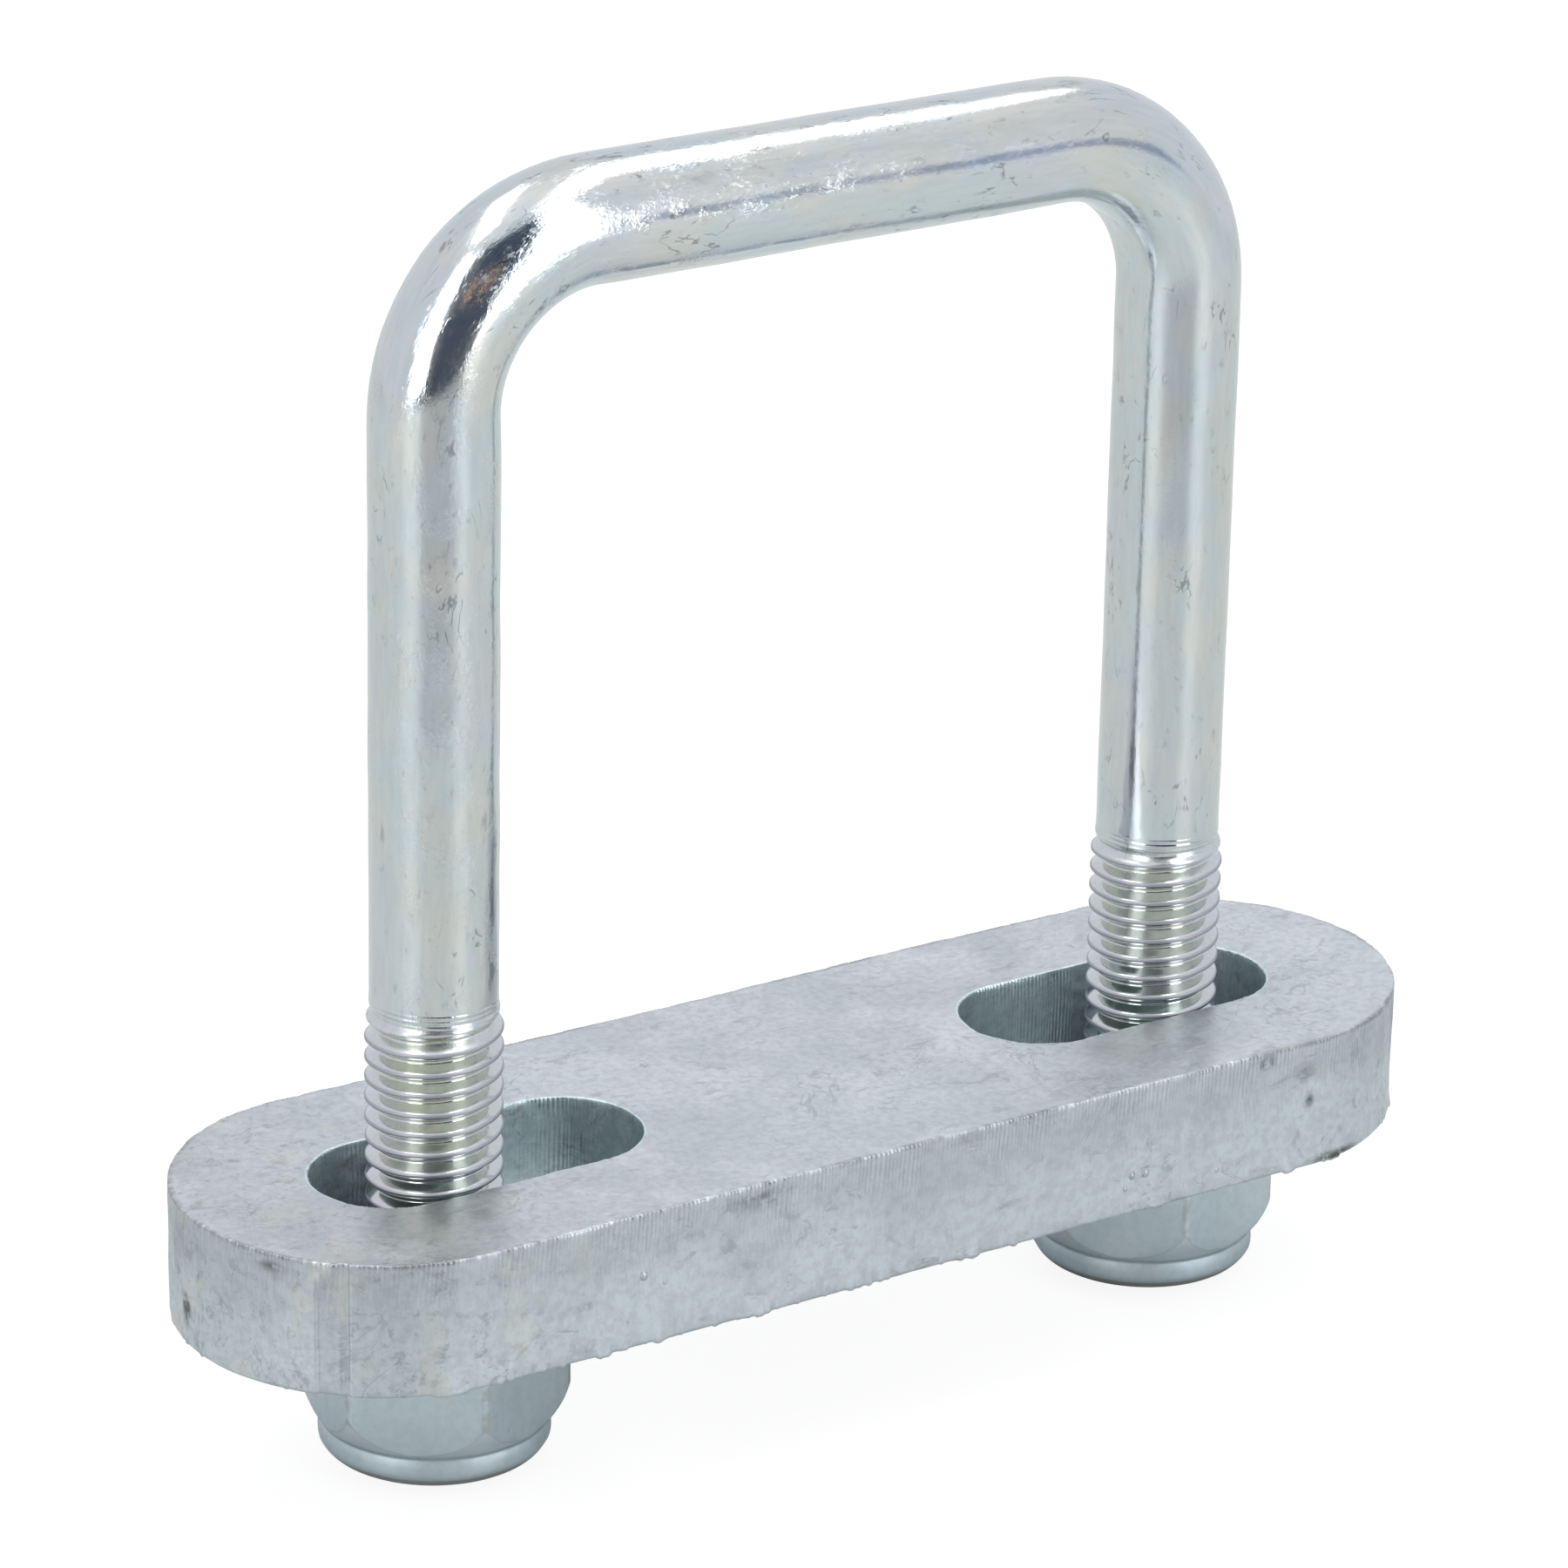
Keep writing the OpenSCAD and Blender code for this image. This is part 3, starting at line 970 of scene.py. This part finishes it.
def nut_zinc():
    """Bluish matte zinc on a cold-formed nut, rubbed along its corners, with a few specks."""
    material, n = new_material("nut_zinc")
    place = n.place()
    corner, level, shoulder_light_mask = n.parts(n.trace())
    cloud = n.noise(place, 120, 4, 0.6)
    colour = n.mix(n.band(cloud, 0.36, 0.66), (0.545, 0.635, 0.685), (0.61, 0.685, 0.72))
    grain = n.noise(place, 1500, 4, 0.65)
    colour = n.mix(n.band(grain, 0.35, 0.62, 0.14, 0.0), colour, (0.30, 0.34, 0.37))
    # Painted light: the rounded shoulder is painted brighter than the flats
    colour = n.cover(colour, (0.80, 0.86, 0.90), shoulder_light_mask, 0.75)
    # Painted shade: thin dark seams under the collar and where its edge turns inwards
    under_collar_shade = n.band(level, 0.926, 0.945)
    colour = n.cover(colour, (0.31, 0.29, 0.27), under_collar_shade, 0.70)
    neck_shade = n.times(n.band(level, 0.776, 0.790), n.band(level, 0.808, 0.794))
    colour = n.cover(colour, (0.20, 0.23, 0.25), neck_shade, 0.30)
    broken = n.band(n.noise(place, 900, 4, 0.65), 0.42, 0.60)
    colour = n.cover(colour, (0.36, 0.33, 0.30), corner, broken, 0.50)
    speck = n.band(n.noise(place, 900, 4, 0.7), 0.66, 0.73)
    speck = n.times(speck, n.band(n.noise(place, 170, 2, 0.5), 0.50, 0.60))
    colour = n.cover(colour, (0.20, 0.20, 0.20), speck, 0.6)
    rough = n.band(n.noise(place, 260, 4, 0.6), 0.35, 0.70, 0.36, 0.46)
    rough = n.math("SUBTRACT", rough, n.times(corner, 0.20))
    rough = n.plus(rough, n.band(level, 0.79, 0.82), 0.14)
    normal = n.bump(n.noise(place, 1300, 3, 0.6), 0.20, 0.00005)
    normal = n.bump(n.noise(place, 330, 3, 0.5), 0.15, 0.0001, normal)
    n.surface(Base_Color=colour, Metallic=1.0, Roughness=rough, Normal=normal)
    return material


def nylon():
    """Natural nylon: waxy, off-white, a little light passing through."""
    material, n = new_material("nylon")
    place = n.place()
    cloud = n.noise(place, 300, 3, 0.5)
    colour = n.mix(n.band(cloud, 0.3, 0.7), (0.80, 0.78, 0.69), (0.88, 0.87, 0.80))
    rough = n.band(n.noise(place, 900, 2, 0.5), 0.3, 0.7, 0.38, 0.52)
    normal = n.bump(n.noise(place, 1200, 3, 0.5), 0.15, 0.00006)
    n.surface(Base_Color=colour, Roughness=rough, Normal=normal,
              Subsurface_Weight=0.25, Subsurface_Scale=0.001)
    return material


# ---------- pieces

def add_piece(mesh, name, material, body, cad_node, sharp_degrees=50):
    """Shows a piece that moves with a body and stands for a CAD node."""
    piece = mesh.build(name, material, sharp_degrees)
    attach(piece, body)
    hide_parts(cad_node)


add_piece(u_bolt_mesh(), "bent_u_bolt", bolt_zinc(), "u_bolt", "u_bolt", 60)
add_piece(clamp_plate_mesh(), "slotted_clamp_plate", plate_zinc(), "plate",
          "clamp_plate")
nut_material = nut_zinc()
nylon_material = nylon()
for side_name in ("left", "right"):
    add_piece(lock_nut_mesh(side_name), "hex_lock_nut_" + side_name, nut_material,
              "nut_" + side_name, "lock_nut_" + side_name)
    add_piece(nylon_insert_mesh(side_name), "nylon_ring_" + side_name, nylon_material,
              "nut_carrier", "nylon_insert_" + side_name)


# ---------- studio

def direction(azimuth, elevation):
    """Unit vector. Azimuth 0 points along -Y and turns towards +X."""
    a, e = math.radians(azimuth), math.radians(elevation)
    return Vector((math.sin(a) * math.cos(e), -math.cos(a) * math.cos(e), math.sin(e)))


TARGET = Vector((0, 0, 0.0245))
LAMP_DISTANCE = 1.4


def overhead(azimuth, elevation):
    """A point on a sphere round the object."""
    return direction(azimuth, elevation) * LAMP_DISTANCE


def upright(azimuth, elevation):
    """A point on an upright wall round the object."""
    return direction(azimuth, elevation) * 0.9 / math.cos(math.radians(elevation))


def softbox(name, start, end, breadth_degrees, radiance):
    """A rectangular lamp whose middle line runs between two points, given from the
    target, and whose breadth is an angle seen from the target."""
    along = (end - start).normalized()
    middle = (start + end) / 2
    outward = (middle - middle.dot(along) * along).normalized()
    across = outward.cross(along)
    length = (end - start).length
    breadth = 2 * middle.dot(outward) * math.tan(math.radians(breadth_degrees / 2))
    lamp = bpy.data.lights.new(name, "AREA")
    lamp.shape = "RECTANGLE"
    lamp.size, lamp.size_y = length, breadth
    lamp.energy = radiance * math.pi * length * breadth
    made = new_object(name, lamp)
    made.location = TARGET + middle
    made.rotation_mode = "QUATERNION"
    made.rotation_quaternion = Matrix((along, across, outward)).transposed().to_quaternion()
    made.visible_camera = False


# What the object mirrors besides the lamps: the middle's azimuth and elevation, half the
# width and height, and the softness, in degrees, then the colour. Later ones lie on top.
PANELS = {"dim_ceiling": ((-15, 60), (18, 8), 5, (0.42, 0.46, 0.54)),
          "dim_table_edge": ((40, 4), (14, 5), 3, (0.36, 0.42, 0.54)),
          "half_dark_side": ((-50, 26), (12, 34), 4, (0.19, 0.185, 0.205)),
          "dark_side": ((-20, 26), (26, 34), 4, (0.08, 0.10, 0.14)),
          "warm_lamp_left": ((-36, 33), (1.2, 5), 1.2, (2.8, 1.6, 0.75)),
          "warm_lamp_right": ((-18, 28), (1.2, 5), 1.2, (2.8, 1.6, 0.75))}


def make_world():
    """A pale room with a dark side behind the camera. The camera itself sees plain white."""
    world = bpy.data.worlds.new("studio")
    bpy.context.scene.world = world
    world.use_nodes = True
    n = Nodes(world.node_tree)
    parts = n.parts(n.add("ShaderNodeTexCoord").outputs["Generated"])
    azimuth = n.azimuth(parts)
    elevation = n.math("DEGREES", n.math("ARCSINE", parts[2]))
    colour = n.mix(n.band(azimuth, -70, -110), (0.79, 0.82, 0.86), (0.81, 0.81, 0.86))
    colour = n.mix(n.band(elevation, 45, 65), colour, (0.96, 0.97, 1.0))
    for centre, half, soft, panel_colour in PANELS.values():
        across = n.band(n.off(azimuth, centre[0]), half[0] + soft, half[0] - soft)
        up = n.band(n.off(elevation, centre[1]), half[1] + soft, half[1] - soft)
        colour = n.cover(colour, panel_colour, across, up)
    camera_ray = n.add("ShaderNodeLightPath").outputs["Is Camera Ray"]
    colour = n.mix(camera_ray, colour, (1.0, 1.0, 1.0))
    background = n.add("ShaderNodeBackground", {"Color": colour, "Strength": 1.0})
    n.add("ShaderNodeOutputWorld", {"Surface": background.outputs[0]})


def make_floor():
    """A pale, slightly glossy table whose far front is dim, as the room is there. The
    camera sees it almost white, with soft shadows."""
    material, n = new_material("table")
    place = n.place()
    off_front = n.off(n.azimuth(n.parts(place)), -27.0)
    reach = n.add("ShaderNodeVectorMath", {0: place}, operation="LENGTH").outputs["Value"]
    dim = n.times(n.band(off_front, 40, 22), n.band(reach, 0.14, 0.21))
    colour = n.mix(dim, (0.615, 0.635, 0.61), (0.47, 0.475, 0.475))
    shader = n.add("ShaderNodeBsdfPrincipled", {"Base Color": colour, "Roughness": 0.50})
    glow = n.add("ShaderNodeEmission", {"Color": (1, 1, 1), "Strength": 1.07})
    white = n.add("ShaderNodeBsdfDiffuse", {"Color": (0.9, 0.9, 0.9)})
    seen = n.add("ShaderNodeMixShader", {0: 0.84, 1: white.outputs[0], 2: glow.outputs[0]})
    camera_ray = n.add("ShaderNodeLightPath").outputs["Is Camera Ray"]
    both = n.add("ShaderNodeMixShader", {0: camera_ray, 1: shader.outputs[0],
                                         2: seen.outputs[0]})
    n.add("ShaderNodeOutputMaterial", {"Surface": both.outputs[0]})
    half = 0.55
    level = LEG_END * MM - 0.0002
    data = bpy.data.meshes.new("floor")
    corners = [(-half, -half, level), (half, -half, level), (half, half, level),
               (-half, half, level)]
    data.from_pydata(corners, [], [(0, 1, 2, 3)])
    data.materials.append(material)
    new_object("floor", data)


def make_camera():
    """A long lens at the product's three-quarter view."""
    azimuth, elevation, roll = -34.04, 20.96, 1.164
    distance, lens = 0.4917, 159.2
    data = bpy.data.cameras.new("camera")
    data.lens = lens
    data.sensor_width = 36.0
    data.shift_x, data.shift_y = -0.0169, -0.0198
    data.clip_start, data.clip_end = 0.01, 20.0
    camera = new_object("camera", data)
    outward = direction(azimuth, elevation)
    camera.location = TARGET + outward * distance
    aim = outward.to_track_quat("Z", "Y").to_matrix().to_4x4()
    aim = aim @ Matrix.Rotation(math.radians(roll), 4, "Z")
    camera.rotation_mode = "QUATERNION"
    camera.rotation_quaternion = aim.to_quaternion()
    bpy.context.scene.camera = camera


make_world()
make_floor()
softbox("softbox_front", upright(15, -5), upright(15, 65), 24, 2.6)
softbox("softbox_left", upright(-69, -1), upright(-77, 56), 26, 2.6)
softbox("strip_right", overhead(13, 72), overhead(127, 45), 12.5, 2.6)
softbox("strip_left", overhead(-93, 65), overhead(178, 53), 13, 2.6)
make_camera()
bpy.context.scene.view_settings.view_transform = "Standard"
